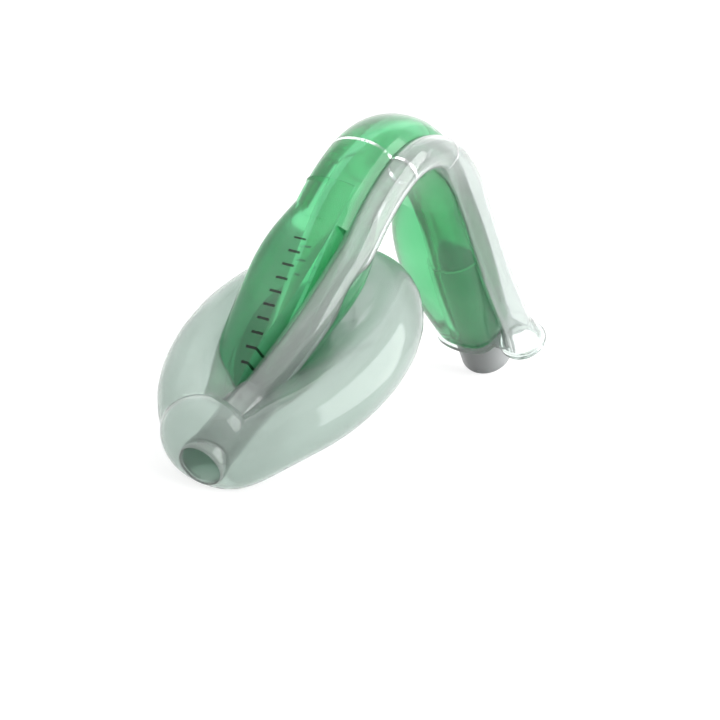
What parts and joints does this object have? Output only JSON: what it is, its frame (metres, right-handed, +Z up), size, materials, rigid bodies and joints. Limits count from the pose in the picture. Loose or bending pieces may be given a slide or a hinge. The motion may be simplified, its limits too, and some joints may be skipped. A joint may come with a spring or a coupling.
{
  "type": "laryngeal mask airway",
  "caption": "Arched supraglottic airway: an inflated oval mask cuff, a curved oval tube with a drain tube in its groove, and a 15 mm cone connector.",
  "frame": {"origin": "centre of the bounding box on the surface that the cuff's nose and the connector's rim rest on", "axes": "+X from the cuff's nose to the connector, +Y away from the drain tube's side, +Z up"},
  "size_m": [0.1767, 0.0619, 0.0877],
  "materials": {
    "clear_cuff": "clear soft plastic",
    "green_body": "translucent green plastic",
    "clear_tube": "clear soft plastic",
    "connector_plastic": "smooth translucent plastic"
  },
  "bodies": {
    "root": {"mask_cuff": "clear_cuff", "airway_tube": "green_body", "drain_tube": "clear_tube", "connector": "connector_plastic"}
  },
  "joints": []
}
